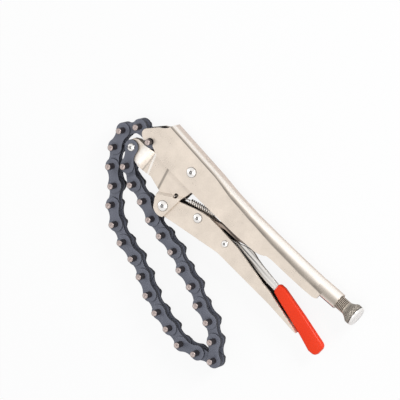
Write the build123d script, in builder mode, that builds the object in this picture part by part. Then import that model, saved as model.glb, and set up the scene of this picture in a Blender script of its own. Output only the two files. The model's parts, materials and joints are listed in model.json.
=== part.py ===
from build123d import *
import math
import os

os.makedirs("parts", exist_ok=True)

# Where the jaw's pivot stands, so that the whole tool is centred on the origin
jaw_pivot_x = -52.13
jaw_pivot_y = 44.19
tool = Plane(origin=(jaw_pivot_x, jaw_pivot_y, 0))

# Chain sizes: a standard 15.875 mm pitch chain with long pins
pitch = 15.875
pin_radius = 2.54
pin_half_length = 12.0
link_bore_clearance = 0.05
plate_thickness = 1.4
narrow_plate_inner = 1.55
plate_gap = 0.1
wide_plate_inner = narrow_plate_inner + plate_thickness + plate_gap
wide_plate_outer = wide_plate_inner + plate_thickness
link_lobe_radius = 5.8
link_waist_half = 4.3
barrel_radius = 3.9
barrel_sides = 6
lobe_sides = 8
pin_sides = 8
pin_flat_radius = pin_radius * math.cos(math.pi / pin_sides)
link_bore_radius = pin_radius + link_bore_clearance
crank_start_share = 0.38
crank_end_share = 0.62

# Pivots, measured from the jaw's pivot
lever_pivot = (0.2, -38.9)
link_pivot = (28.0, -24.1)
release_pivot = (58.7, -21.2)
chain_pivot = (-52.5, -26.6)
hook_seat = (-42.6, -9.5)

# Clearances
running_clearance = 0.05
hook_clearance = 0.7
jaw_side_clearance = 0.2
chain_side_clearance = 0.25
nose_clearance = 0.15
lever_side_clearance = 0.15
toggle_side_clearance = 0.2
release_side_clearance = 0.2

# Sheet thicknesses, then half widths worked out from the chain outward and from the jaw inward
handle_wall = 2.4
jaw_wall = 2.2
lever_wall = 1.8
toggle_wall = 1.4
jaw_body_half = wide_plate_outer + chain_side_clearance
flare_rise = 2.35
handle_slot_half = jaw_body_half + jaw_side_clearance
handle_half = handle_slot_half + handle_wall
jaw_nose_half = wide_plate_inner - nose_clearance
jaw_flare_half = jaw_body_half + flare_rise
lever_half = jaw_flare_half - jaw_wall - lever_side_clearance
toggle_half = lever_half - lever_wall - toggle_side_clearance
release_half = toggle_half - toggle_wall - release_side_clearance
grip_half = 2.7

# One overrun for every cut
cut_overrun = 40
quarter_turn = 90

# Fixed handle: stations along it give its top and how far its rounding reaches across and down
spine_front = -37.5
spine_top = 14.1
handle_floor = -30
channel_start = -60.0
channel_end = 143.5
front_rounding = (1.8, 1.8)
rear_side_flat = 0.1
rear_across = handle_half - rear_side_flat
least_inner_rounding = 0.8
spine_stations = [
    (channel_start, spine_top, *front_rounding),
    (17.0, spine_top, *front_rounding),
    (37.0, spine_top, 3.8, 4.2),
    (62.0, 14.9, 5.4, 5.4),
    (87.0, 17.2, rear_across, 7.9),
    (115.0, 19.6, rear_across, 9.3),
    (channel_end, 22.3, rear_across, 9.8),
]
hook_radius = pin_radius + hook_clearance
hook_tip_lean = 0.6
nose_drop = 0.6
nose_corner = (spine_front, spine_top - nose_drop)
nose_swell = [(-40.4, 8.4), (-45.5, 4.2)]
nose_slope_end = (-51.6, -3.4)
nose_round = [(-53.3, -7.4), (-50.6, -11.2)]
hook_tip_round = (-48.4, -12.2)
hook_tip_y = -11.7
jaw_side_edge = [(-38.6, -10.4), (-31.0, -13.3), (-26.6, -14.0), (8.7, -12.2), (34.0, -10.2), (60.0, -8.0),
                 (79.0, -5.5)]
finger_bend = [(86.0, -3.4), (91.0, 0.1)]
finger_edge = [(96.0, 1.2), (113.0, 2.7), (129.5, 4.5), (138.5, 5.9)]
rear_curl = [(142.0, 6.9), (145.5, 10.6)]

# Screw, its boss and its knob, all on one sloping axis
screw_slope = 7.5
screw_point = (158.7, 17.8)
thread_radius = 5.5
rod_radius = 4.0
rod_clearance = 0.4
thread_start = -20.0
boss_radius = 6.8
boss_start = -21.0
boss_end = -1.7
screw_tip = -57.4
screw_tip_radius = 3.0
screw_tip_chamfer = 1.4
knob_start = 6.2
knob_stem_radius = 3.0
knob_profile = [(5.2, knob_start), (6.4, 9.0), (8.1, 11.4), (8.6, 12.2), (8.6, 15.6), (7.4, 18.0)]
knob_bore_end = 15.0

# Spring and its two ends
wire_radius = 0.45
wire_sides = 4
coil_radius = 2.0
coil_turns = 13
coil_start = 10.5
coil_end = 34.9
spring_hole = (2.5, -25.2)
spring_hole_radius = 2.0
spring_tab = (62.0, -3.0)
tab_thickness = 2.0
tab_half_width = 3.2
tab_hole_radius = 1.2
tab_drop = 2.6
tab_rise = 16.6
spring_end_overrun = 0.9
tail_length = 3.4
tail_drop = 1.8
tail_bend_leg = 1.0
least_spring_gap = 0.4
gap_points = 600

# Rivets: shaft and head radii, and the height of a head
pivot_shaft_radius = 3.2
small_shaft_radius = 2.4
jaw_head_radius = 4.35
lever_head_radius = 4.55
link_head_radius = 4.0
release_head_radius = 2.9
release_shaft_radius = 1.9
chain_head_radius = 3.3
rivet_dome = 1.6
head_sides = 16
crown_share = 0.45
rivet_seat_gap = 0.05

# Headings of links 1 to 26 in degrees, walked from the jaw's nose round the loop
headings = [-62, -24, -11, -19, -9, -6, -19, -11, -25, -12, -34, -47, -155,
            -159, -187, -187, -196, -204, -199, -188, -199, -217, -234, -220, -236, -256]


def shifted(point, distance, angle):
    """The point that lies a distance away at an angle in degrees."""
    turn = math.radians(angle)
    return (point[0] + distance * math.cos(turn), point[1] + distance * math.sin(turn))


def in_world(point, height=0.0):
    """A point given from the jaw's pivot, as the tool's own coordinates."""
    return (jaw_pivot_x + point[0], jaw_pivot_y + point[1], height)


def upright(point):
    """A vertical drawing plane through a point, with its own Y upward."""
    return Plane(origin=in_world(point), x_dir=(1, 0, 0), z_dir=(0, -1, 0))


def cross_section(along):
    """A plane square to the handle's length, with its own Y across the handle."""
    return Plane(origin=in_world((along, 0)), x_dir=(0, 0, -1), z_dir=(1, 0, 0))


def chain_pins():
    """Pin centres from the jaw's nose to the hook, closed by the last two links."""
    pins = [chain_pivot]
    for heading in headings:
        pins.append(shifted(pins[-1], pitch, heading))
    last = pins[-1]
    span = math.dist(last, hook_seat)
    middle = ((last[0] + hook_seat[0]) / 2, (last[1] + hook_seat[1]) / 2)
    toward = math.degrees(math.atan2(hook_seat[1] - last[1], hook_seat[0] - last[0]))
    height = math.sqrt(pitch ** 2 - (span / 2) ** 2)
    pins.append(shifted(middle, height, toward + 90))
    pins.append(hook_seat)
    return pins


# Handle: a lofted channel cut to the side outline, then hollowed
def channel_section(top, across, down, half):
    """One arched section: flat sides up to an elliptical rounding on both top corners."""
    with BuildLine() as outline:
        Polyline((-half, top - down), (-half, handle_floor), (half, handle_floor), (half, top - down))
        for centre_z, start in ((half - across, 0), (across - half, quarter_turn)):
            centre = (centre_z, top - down)
            EllipticalCenterArc(centre, across, down, start_angle=start, arc_size=quarter_turn)
        Line((half - across, top), (across - half, top))
    make_face(outline.edges())


def channel(inset, mode):
    """The loft of the channel's outside, or of its inside with an inset."""
    stations = []
    for along, top, across, down in spine_stations:
        inner_across = max(across - inset, least_inner_rounding)
        inner_down = max(down - inset, least_inner_rounding)
        with BuildSketch(cross_section(along)) as station:
            channel_section(top - inset, inner_across, inner_down, handle_half - inset)
        stations.append(station.sketch)
    loft(stations, ruled=True, mode=mode)


screw_axis_origin = in_world(screw_point)
screw_direction = (math.cos(math.radians(screw_slope)), math.sin(math.radians(screw_slope)), 0)
screw_base = Plane(origin=screw_axis_origin, x_dir=(0, 0, 1), z_dir=screw_direction)
across_screw = (screw_direction[1], -screw_direction[0], 0)
spring_slope = math.degrees(math.atan2(spring_tab[1] - spring_hole[1], spring_tab[0] - spring_hole[0]))
spring_direction = (math.cos(math.radians(spring_slope)), math.sin(math.radians(spring_slope)), 0)

throat_left = (hook_seat[0] - hook_radius, hook_seat[1])
throat_top = (hook_seat[0], hook_seat[1] + hook_radius)
throat_right = (hook_seat[0] + hook_radius, hook_seat[1])
hook_tip = (throat_left[0] - hook_tip_lean, hook_tip_y)

with BuildPart() as fixed_handle:
    channel(0, Mode.ADD)
    with BuildSketch(tool):
        with BuildLine():
            Polyline((spine_front, cut_overrun), nose_corner)
            ThreePointArc(nose_corner, *nose_swell)
            Line(nose_swell[-1], nose_slope_end)
            ThreePointArc(nose_slope_end, *nose_round)
            ThreePointArc(nose_round[-1], hook_tip_round, hook_tip)
            Line(hook_tip, throat_left)
            ThreePointArc(throat_left, throat_top, throat_right)
            Polyline(throat_right, *jaw_side_edge)
            ThreePointArc(jaw_side_edge[-1], *finger_bend)
            Polyline(finger_bend[-1], *finger_edge)
            ThreePointArc(finger_edge[-1], *rear_curl)
            Polyline(rear_curl[-1], (rear_curl[-1][0], cut_overrun), (spine_front, cut_overrun))
        make_face()
    extrude(amount=handle_half, both=True, mode=Mode.INTERSECT)
    channel(handle_wall, Mode.SUBTRACT)
    with BuildSketch(screw_base.offset(boss_start)):
        Circle(boss_radius)
    extrude(amount=boss_end - boss_start)
    with BuildSketch(screw_base.offset(boss_start)):
        Circle(thread_radius + running_clearance)
    extrude(amount=cut_overrun, mode=Mode.SUBTRACT)
    with BuildSketch(screw_base.offset(boss_start)):
        Circle(rod_radius + rod_clearance)
    extrude(amount=-cut_overrun, mode=Mode.SUBTRACT)
    with BuildSketch(Plane(origin=in_world(spring_tab), x_dir=(0, 0, 1), z_dir=spring_direction)):
        with BuildLine():
            Polyline((-tab_half_width, tab_drop), (-tab_half_width, -tab_rise), (tab_half_width, -tab_rise),
                     (tab_half_width, tab_drop), close=True)
        make_face()
        Circle(tab_hole_radius, mode=Mode.SUBTRACT)
    extrude(amount=tab_thickness / 2, both=True)
    with BuildSketch(tool):
        Circle(pivot_shaft_radius)
    extrude(amount=cut_overrun, both=True, mode=Mode.SUBTRACT)
fixed_handle.part.label = "fixed_handle"


# Jaw: a joggled sheet on each side, flared round the lever's pivot, with a folded lower web
jaw_front_top = [(-56.6, -20.6), (-52.3, -17.7), (-45.1, -17.2), (-37.0, -15.0), (-12.0, -2.0)]
jaw_rear_top = [(9.2, 3.0), (10.0, -13.6), (7.8, -24.3)]
jaw_head = [(-5.0, 7.4), (5.0, 7.4)]
jaw_foot_round = [(6.0, -46.0), (0.6, -47.9), (-5.2, -46.1)]
jaw_foot_front = [(-9.2, -39.7), (-11.5, -33.4)]
jaw_lower = [(-24.3, -30.7), (-38.5, -34.2), (-43.6, -33.5)]
jaw_nose_round = [(-52.4, -32.9), (-58.6, -28.4)]
jaw_web_top = [(-52.0, -29.0), (-44.0, -31.4), (-38.5, -31.9), (-24.3, -28.2), (-14.2, -30.6)]
jaw_web_nose = (-49.0, -32.4)
jaw_web_step = [(-28.0, -31.7), (-28.0, -29.2)]
nose_bend_start = -40.2
nose_bend_end = -30.6
body_start = -70.0
body_end = 30.0
flare_angle = 35.7
flare_point = (-5.7, -33.9)
flare_bend_start = 2.9
flare_bend_end = 0.8


def jaw_side():
    """The jaw's side outline, one face."""
    with BuildLine() as outline:
        Polyline(*jaw_front_top)
        Polyline(jaw_front_top[-1], *jaw_head, *jaw_rear_top)
        Line(jaw_rear_top[-1], jaw_foot_round[0])
        ThreePointArc(*jaw_foot_round)
        Polyline(jaw_foot_round[-1], *jaw_foot_front, *jaw_lower)
        ThreePointArc(jaw_lower[-1], *jaw_nose_round)
        Line(jaw_nose_round[-1], jaw_front_top[0])
    make_face(outline.edges())


def flare_plane():
    """A plane square to the flare's bend line, its own X pointing away from the lever."""
    bend = math.radians(flare_angle)
    along = (math.cos(bend), math.sin(bend), 0)
    away = (-math.sin(bend), math.cos(bend), 0)
    return Plane(origin=in_world(flare_point), x_dir=away, z_dir=along)


def bent_sheet(plane, stations, side, reach):
    """A sheet of even thickness through stations of place and outer height."""
    outer = [(place, side * height) for place, height in stations]
    inner = [(place, side * (height - jaw_wall)) for place, height in reversed(stations)]
    with BuildSketch(plane) as section:
        with BuildLine():
            Polyline(*outer, *inner, close=True)
        make_face()
    extrude(section.sketch, amount=reach, both=True)


def jaw_cheek(side):
    """One cheek: the joggled front sheet, then the flared rear sheet, cut to the outline."""
    front = [(body_start, jaw_nose_half), (nose_bend_start, jaw_nose_half),
             (nose_bend_end, jaw_body_half), (body_end, jaw_body_half)]
    rear = [(-cut_overrun, jaw_flare_half), (flare_bend_end, jaw_flare_half),
            (flare_bend_start, jaw_body_half), (cut_overrun, jaw_body_half)]
    with BuildPart() as front_sheet:
        bent_sheet(upright((0, 0)), front, side, 2 * cut_overrun)
        with BuildSketch(tool):
            jaw_side()
        extrude(amount=cut_overrun, both=True, mode=Mode.INTERSECT)
        with BuildSketch(flare_plane()):
            with Locations((flare_bend_start - cut_overrun, 0)):
                Rectangle(2 * cut_overrun, 2 * cut_overrun)
        extrude(amount=cut_overrun, both=True, mode=Mode.SUBTRACT)
    with BuildPart() as rear_sheet:
        bent_sheet(flare_plane(), rear, side, cut_overrun)
        with BuildSketch(tool):
            jaw_side()
        extrude(amount=cut_overrun, both=True, mode=Mode.INTERSECT)
        with BuildSketch(flare_plane()):
            with Locations((flare_bend_start + cut_overrun, 0)):
                Rectangle(2 * cut_overrun, 2 * cut_overrun)
        extrude(amount=cut_overrun, both=True, mode=Mode.SUBTRACT)
    return front_sheet.part, rear_sheet.part


jaw_sheets = [sheet for side in (1, -1) for sheet in jaw_cheek(side)]

with BuildPart() as jaw:
    add(jaw_sheets)
    with BuildSketch(tool):
        with BuildLine():
            Polyline(*jaw_web_top, jaw_foot_front[-1], *jaw_lower)
            ThreePointArc(jaw_lower[-1], jaw_web_nose, jaw_web_top[0])
        make_face()
    extrude(amount=jaw_nose_half - jaw_wall / 2, both=True)
    with BuildSketch(tool):
        with BuildLine():
            Polyline(*jaw_web_step, *jaw_web_top[-2:], jaw_foot_front[-1], jaw_lower[0], close=True)
        make_face()
    extrude(amount=jaw_body_half - jaw_wall / 2, both=True)
    with BuildSketch(tool):
        Circle(pivot_shaft_radius + running_clearance)
        with Locations(lever_pivot):
            Circle(pivot_shaft_radius)
        with Locations(chain_pivot):
            Circle(pin_radius)
        with Locations(spring_hole):
            Circle(spring_hole_radius)
    extrude(amount=cut_overrun, both=True, mode=Mode.SUBTRACT)
jaw.part.label = "jaw"


# Lever: a channel open toward the handle
lever_lobe_radius = 7.6
lever_top = [(8.9, -26.2), (20.6, -20.9), (28.5, -17.7), (34.7, -16.2), (47.0, -15.4), (65.8, -15.3),
             (82.0, -17.0), (103.8, -19.7), (112.0, -20.0), (144.0, -25.5), (149.6, -26.6)]
lever_bottom = [(149.6, -27.2), (146.3, -27.6), (118.2, -27.7), (88.2, -29.7), (58.9, -31.5),
                (21.4, -41.4), (6.4, -45.6)]
lever_web_start = 13.0
lever_web_drop = 3.2


def lever_side():
    """The lever's side outline, one face."""
    with BuildLine() as outline:
        Polyline(*lever_top, *lever_bottom)
        start = shifted(lever_pivot, lever_lobe_radius, 132)
        low = shifted(lever_pivot, lever_lobe_radius, 215)
        finish = shifted(lever_pivot, lever_lobe_radius, 290)
        Line(lever_bottom[-1], finish)
        ThreePointArc(finish, low, start)
        Line(start, lever_top[0])
    make_face(outline.edges())


with BuildPart() as lever:
    with BuildSketch(tool):
        lever_side()
    extrude(amount=lever_half, both=True)
    with BuildSketch(tool):
        raised = [(x, y + lever_wall) for x, y in lever_bottom[:-1]]
        web_end = (lever_web_start, raised[-1][1] - lever_web_drop)
        far_front = lever_pivot[0] - cut_overrun
        far_rear = lever_top[-1][0] + cut_overrun
        far_low = lever_pivot[1] - cut_overrun
        with BuildLine():
            Polyline((far_rear, raised[0][1]), *raised, web_end, (lever_web_start, far_low),
                     (far_front, far_low), (far_front, cut_overrun), (far_rear, cut_overrun), close=True)
        make_face()
    extrude(amount=lever_half - lever_wall, both=True, mode=Mode.SUBTRACT)
    with BuildSketch(tool):
        with Locations(lever_pivot):
            Circle(pivot_shaft_radius + running_clearance)
        with Locations(link_pivot):
            Circle(small_shaft_radius)
        with Locations(release_pivot):
            Circle(release_shaft_radius)
    extrude(amount=cut_overrun, both=True, mode=Mode.SUBTRACT)
lever.part.label = "lever"


# Toggle link: a bent channel with its web upward and a rounded foot on the screw's tip
foot_gap = 1.6
foot_radius = 3.7
foot_centre = shifted(screw_point, screw_tip - foot_radius - foot_gap, screw_slope)
toggle_lobe_radius = 5.4
toggle_upper = [(42.0, -14.5), (50.0, -10.6), (66.0, -7.6), (80.0, -0.4), (87.4, 9.0)]
toggle_lower = [(91.0, -1.0), (84.0, -4.2), (78.0, -6.6), (73.1, -8.8), (64.0, -12.2), (50.6, -13.8),
                (44.0, -16.2), (36.5, -20.6)]
toggle_cavity = [(16.0, -60.0), (90.0, -60.0), (90.0, -5.6), (84.0, -3.4), (80.4, -1.8), (66.4, -9.0),
                 (50.4, -12.0), (42.4, -15.9), (31.0, -20.2), (16.0, -22.0)]

with BuildPart() as toggle_link:
    with BuildSketch(tool) as toggle_outline:
        with BuildLine():
            Polyline(shifted(link_pivot, toggle_lobe_radius, 107), *toggle_upper,
                     shifted(foot_centre, foot_radius, 140), shifted(foot_centre, foot_radius, 300),
                     *toggle_lower, shifted(link_pivot, toggle_lobe_radius, 282), close=True)
        make_face()
        with Locations(link_pivot):
            Circle(toggle_lobe_radius)
        with Locations(foot_centre):
            Circle(foot_radius)
    extrude(amount=toggle_half, both=True)
    with BuildSketch(tool):
        with BuildLine():
            Polyline(*toggle_cavity, close=True)
        make_face()
    extrude(amount=toggle_half - toggle_wall, both=True, mode=Mode.SUBTRACT)
    with BuildSketch(tool):
        with Locations(link_pivot):
            Circle(small_shaft_radius + running_clearance)
    extrude(amount=cut_overrun, both=True, mode=Mode.SUBTRACT)
toggle_link.part.label = "toggle_link"


# Release lever and its dipped grip
release_lobe_radius = 4.6
release_top = [(65.8, -14.2), (69.7, -11.8), (74.2, -9.9), (78.0, -8.9), (80.9, -9.2), (85.8, -10.3),
               (92.7, -11.1), (114.4, -12.1), (150.0, -18.0), (166.0, -21.6)]
release_bottom = [(166.0, -26.4), (150.0, -23.4), (118.0, -17.2), (104.0, -18.4), (92.0, -18.0),
                  (84.0, -17.2), (76.0, -17.8)]
grip_top = [(112.6, -12.9), (117.5, -9.4), (145.0, -13.0), (170.4, -17.2)]
grip_bottom = [(170.4, -29.6), (166.0, -30.4), (151.7, -26.6), (122.0, -20.6), (113.4, -18.4)]
grip_edge = 1.0
grip_taper = 40
grip_tail_bulge = (173.4, -23.4)


def release_side():
    """The release lever's side outline, one face."""
    with BuildLine() as outline:
        Polyline(shifted(release_pivot, release_lobe_radius, 115), *release_top, *release_bottom,
                 shifted(release_pivot, release_lobe_radius, 290), close=True)
    make_face(outline.edges())
    with Locations(release_pivot):
        Circle(release_lobe_radius)


with BuildPart() as release_lever:
    with BuildSketch(tool):
        release_side()
    extrude(amount=release_half, both=True)
    with BuildSketch(tool):
        with Locations(release_pivot):
            Circle(release_shaft_radius + running_clearance)
    extrude(amount=cut_overrun, both=True, mode=Mode.SUBTRACT)
release_lever.part.label = "release_lever"


def grip_slab(side):
    """Half of the grip's thickness, its outer edge tapered inward."""
    with BuildSketch(tool.offset(side * (grip_half - grip_edge))) as grip_outline:
        with BuildLine():
            Polyline(*grip_top)
            ThreePointArc(grip_top[-1], grip_tail_bulge, grip_bottom[0])
            Polyline(*grip_bottom, grip_top[0])
        make_face()
    extrude(grip_outline.sketch, amount=side * grip_edge, taper=grip_taper)
    extrude(grip_outline.sketch, amount=-side * (grip_half - grip_edge))


with BuildPart() as release_grip:
    grip_slab(1)
    grip_slab(-1)
    with BuildSketch(tool):
        release_side()
    extrude(amount=release_half, both=True, mode=Mode.SUBTRACT)
release_grip.part.label = "release_grip"


# Screw and knob on the sloping axis
def on_axis(start, end, radius, mode=Mode.ADD):
    """A round bar or bore between two places on the screw's axis."""
    with BuildSketch(screw_base.offset(start)) as round_shape:
        Circle(radius)
    extrude(round_shape.sketch, amount=end - start, mode=mode)


with BuildPart() as adjusting_screw:
    on_axis(screw_tip, screw_tip + screw_tip_radius, screw_tip_radius)
    on_axis(screw_tip + screw_tip_radius, thread_start, rod_radius)
    on_axis(thread_start, knob_start, thread_radius)
    on_axis(knob_start, knob_bore_end, knob_stem_radius)
    tip_face = adjusting_screw.faces().sort_by(Axis(screw_axis_origin, screw_direction))[0]
    chamfer(tip_face.edges(), screw_tip_chamfer)
adjusting_screw.part.label = "adjusting_screw"

with BuildPart() as adjusting_knob:
    knob_foot = (knob_profile[0][0], knob_start + running_clearance)
    with BuildSketch(Plane(origin=screw_axis_origin, x_dir=across_screw, z_dir=(0, 0, 1))):
        with BuildLine():
            Polyline((0, knob_foot[1]), knob_foot, *knob_profile[1:], (0, knob_profile[-1][1]), close=True)
        make_face()
    revolve(axis=Axis(screw_axis_origin, screw_direction))
    knob_bore_radius = knob_stem_radius + running_clearance
    on_axis(knob_start, knob_bore_end + running_clearance, knob_bore_radius, Mode.SUBTRACT)
adjusting_knob.part.label = "adjusting_knob"


# Tension spring: straight tail, coil, straight tail, one unbroken wire
def spring_point(along, turn=None):
    """A point on the spring's axis, or on its coil at a turn in degrees."""
    middle = shifted(spring_hole, along, spring_slope)
    if turn is None:
        return Vector(*in_world(middle))
    swing = math.radians(turn)
    side = coil_radius * math.cos(swing)
    across = shifted(middle, side, spring_slope + 90)
    return Vector(*in_world(across, coil_radius * math.sin(swing)))


def coil_tangent(turn, rise):
    """The wire's direction on the coil at a turn in degrees."""
    swing = math.radians(turn)
    lean = math.radians(spring_slope)
    round_speed = coil_radius * math.pi / 180
    side = -round_speed * math.sin(swing)
    up = round_speed * math.cos(swing)
    return Vector(rise * math.cos(lean) - side * math.sin(lean),
                  rise * math.sin(lean) + side * math.cos(lean), up).normalized()


def biarc(start, start_way, end, end_way):
    """Two arcs from a start to an end, in line with both directions."""
    gap = end - start
    sum_way = start_way + end_way
    square = 2 * (1 - start_way.dot(end_way))
    reach = gap.dot(sum_way)
    if square < 1e-9:
        leg = gap.dot(gap) / (2 * reach)
    else:
        leg = (-reach + math.sqrt(reach ** 2 + square * gap.dot(gap))) / square
    middle = (start + end + (start_way - end_way) * leg) / 2
    middle_way = (end - end_way * leg) - (start + start_way * leg)
    return [TangentArc(start, middle, tangent=start_way), TangentArc(middle, end, tangent=middle_way)]


coil_length = coil_end - coil_start
turns_in_degrees = 360 * coil_turns
rise_per_degree = coil_length / turns_in_degrees
half_turn = 180
axis_way = Vector(*spring_direction)
upward = Vector(0, 0, 1)
tab_along = math.dist(spring_hole, spring_tab)
jaw_tail_top = jaw_flare_half + spring_end_overrun
bend_leg = 2.0

with BuildLine() as spring_path:
    top = spring_point(0) + upward * jaw_tail_top
    bend_top = spring_point(0) + upward * bend_leg
    bend_out = spring_point(bend_leg)
    Line(top, bend_top)
    biarc(bend_top, upward * -1, bend_out, axis_way)
    straight_end = spring_point(coil_start - 2 * bend_leg)
    Line(bend_out, straight_end)
    first = spring_point(coil_start, 0)
    biarc(straight_end, axis_way, first, coil_tangent(0, rise_per_degree))
    for step in range(0, turns_in_degrees, half_turn):
        here = spring_point(coil_start + step * rise_per_degree, step)
        there = spring_point(coil_start + (step + half_turn) * rise_per_degree, step + half_turn)
        biarc(here, coil_tangent(step, rise_per_degree), there,
              coil_tangent(step + half_turn, rise_per_degree))
    last = spring_point(coil_end, 0)
    rear_start = spring_point(coil_end + 2 * bend_leg)
    biarc(last, coil_tangent(0, rise_per_degree), rear_start, axis_way)
    rear_end = spring_point(tab_along + tail_drop)
    Line(rear_start, rear_end)
    tail_bend = spring_point(tab_along + tail_drop + tail_bend_leg) + upward * tail_bend_leg
    biarc(rear_end, axis_way, tail_bend, upward)
    Line(tail_bend, tail_bend + upward * tail_length / 2)

with BuildPart() as tension_spring:
    with BuildSketch(Plane(origin=top, x_dir=(1, 0, 0), z_dir=(0, 0, -1))):
        RegularPolygon(wire_radius, wire_sides)
    sweep(path=spring_path.wire())
tension_spring.part.label = "tension_spring"

spring_wire = spring_path.wire()
spring_points = [spring_wire @ (number / gap_points) for number in range(gap_points + 1)]
half_turn_points = math.ceil(gap_points * math.pi * coil_radius / spring_wire.length)
nearest = min((there - here).length for number, here in enumerate(spring_points)
              for there in spring_points[number + half_turn_points:])
print("least gap of the spring to itself", round(nearest - 2 * wire_radius, 3),
      "asked for more than", least_spring_gap)


# Rivets: a shaft with a raised head on each side
def rivet(point, shaft_radius, head_radius, seat):
    """One rivet, its low faceted heads seated at a half width."""
    with BuildPart() as body:
        with BuildSketch(Plane(origin=in_world(point), x_dir=(1, 0, 0), z_dir=(0, 0, 1))):
            RegularPolygon(shaft_radius, head_sides)
        extrude(amount=seat, both=True)
        for side in (1, -1):
            seat_plane = Plane(origin=in_world(point, side * seat), x_dir=(1, 0, 0), z_dir=(0, 0, side))
            with BuildSketch(seat_plane) as foot:
                RegularPolygon(head_radius, head_sides)
            with BuildSketch(seat_plane.offset(rivet_dome)) as crown:
                RegularPolygon(head_radius * crown_share, head_sides)
            loft([foot.sketch, crown.sketch], ruled=True)
    return body.part


rivets = {
    "jaw_pivot_rivet": rivet((0, 0), pivot_shaft_radius, jaw_head_radius, handle_half),
    "lever_pivot_rivet": rivet(lever_pivot, pivot_shaft_radius, lever_head_radius, jaw_flare_half),
    "link_rivet": rivet(link_pivot, small_shaft_radius, link_head_radius, lever_half),
    "release_rivet": rivet(release_pivot, release_shaft_radius, release_head_radius, lever_half),
    "chain_rivet": rivet(chain_pivot, pin_radius, chain_head_radius, wide_plate_outer + rivet_seat_gap),
}


# Chain links
def plate(plane, low, high, side):
    """One link plate between two heights, on one side of the tool."""
    with BuildSketch(plane.offset(side * low)) as outline:
        RegularPolygon(link_lobe_radius, lobe_sides, major_radius=False)
        with Locations((pitch, 0)):
            RegularPolygon(link_lobe_radius, lobe_sides, major_radius=False)
        with Locations((pitch / 2, 0)):
            Rectangle(pitch, 2 * link_waist_half)
    extrude(outline.sketch, amount=side * (high - low))


def post(plane, place, radius, sides, half_length, mode=Mode.ADD):
    """A many-sided pin, barrel or bore across the link."""
    with BuildSketch(plane) as round_shape:
        with Locations((place, 0)):
            RegularPolygon(radius, sides, major_radius=False)
    extrude(round_shape.sketch, amount=half_length, both=True, mode=mode)


def wide_link(plane, carried):
    """Two outer plates; the carried pins are part of it, a bore goes where there is none."""
    with BuildPart() as link:
        for side in (1, -1):
            plate(plane, wide_plate_inner, wide_plate_outer, side)
        for place in (0, pitch):
            if place in carried:
                post(plane, place, pin_flat_radius, pin_sides, pin_half_length)
            else:
                post(plane, place, link_bore_radius, pin_sides, cut_overrun, Mode.SUBTRACT)
    return link.part


def narrow_link(plane):
    """Two inner plates with a bored barrel at each end."""
    with BuildPart() as link:
        for side in (1, -1):
            plate(plane, narrow_plate_inner, narrow_plate_inner + plate_thickness, side)
        for place in (0, pitch):
            post(plane, place, barrel_radius, barrel_sides, narrow_plate_inner)
            post(plane, place, link_bore_radius, pin_sides, cut_overrun, Mode.SUBTRACT)
    return link.part


def cranked_link(plane):
    """A link that is narrow at its first pin and wide at its second, whose pin it carries."""
    step = Plane(origin=plane.origin, x_dir=plane.x_dir, z_dir=plane.y_dir)
    with BuildPart() as link:
        for side in (1, -1):
            low = [(-pitch, narrow_plate_inner), (pitch * crank_start_share, narrow_plate_inner),
                   (pitch * crank_end_share, wide_plate_inner), (2 * pitch, wide_plate_inner)]
            high = [(place, height + plate_thickness) for place, height in reversed(low)]
            with BuildSketch(step):
                with BuildLine():
                    Polyline(*[(x, side * z) for x, z in low + high], close=True)
                make_face()
            extrude(amount=pitch, both=True)
        with BuildSketch(plane):
            RegularPolygon(link_lobe_radius, lobe_sides, major_radius=False)
            with Locations((pitch, 0)):
                RegularPolygon(link_lobe_radius, lobe_sides, major_radius=False)
            with Locations((pitch / 2, 0)):
                Rectangle(pitch, 2 * link_waist_half)
        extrude(amount=cut_overrun, both=True, mode=Mode.INTERSECT)
        post(plane, 0, barrel_radius, barrel_sides, narrow_plate_inner)
        post(plane, 0, link_bore_radius, pin_sides, cut_overrun, Mode.SUBTRACT)
        post(plane, pitch, pin_flat_radius, pin_sides, pin_half_length)
    return link.part


pins = chain_pins()
links = {}
for number in range(1, len(pins)):
    start, end = pins[number - 1], pins[number]
    way = (end[0] - start[0], end[1] - start[1], 0)
    link_plane = Plane(origin=in_world(start), x_dir=way, z_dir=(0, 0, 1))
    if number == 1:
        link = wide_link(link_plane, [pitch])
    elif number == 2:
        link = cranked_link(link_plane)
    elif number % 2:
        link = narrow_link(link_plane)
    else:
        link = wide_link(link_plane, [0, pitch])
    links[f"chain_link_{number:02d}"] = link

# Export
pieces = [fixed_handle, jaw, lever, toggle_link, release_lever, release_grip,
          adjusting_screw, adjusting_knob, tension_spring]
for piece in pieces:
    export_step(piece.part, f"parts/{piece.part.label}.step")
for name, solid in {**rivets, **links}.items():
    solid.label = name
    export_step(solid, f"parts/{name}.step")
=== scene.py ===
import json
import math

import bmesh
import bpy
from mathutils import Euler, Matrix, Vector


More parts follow.
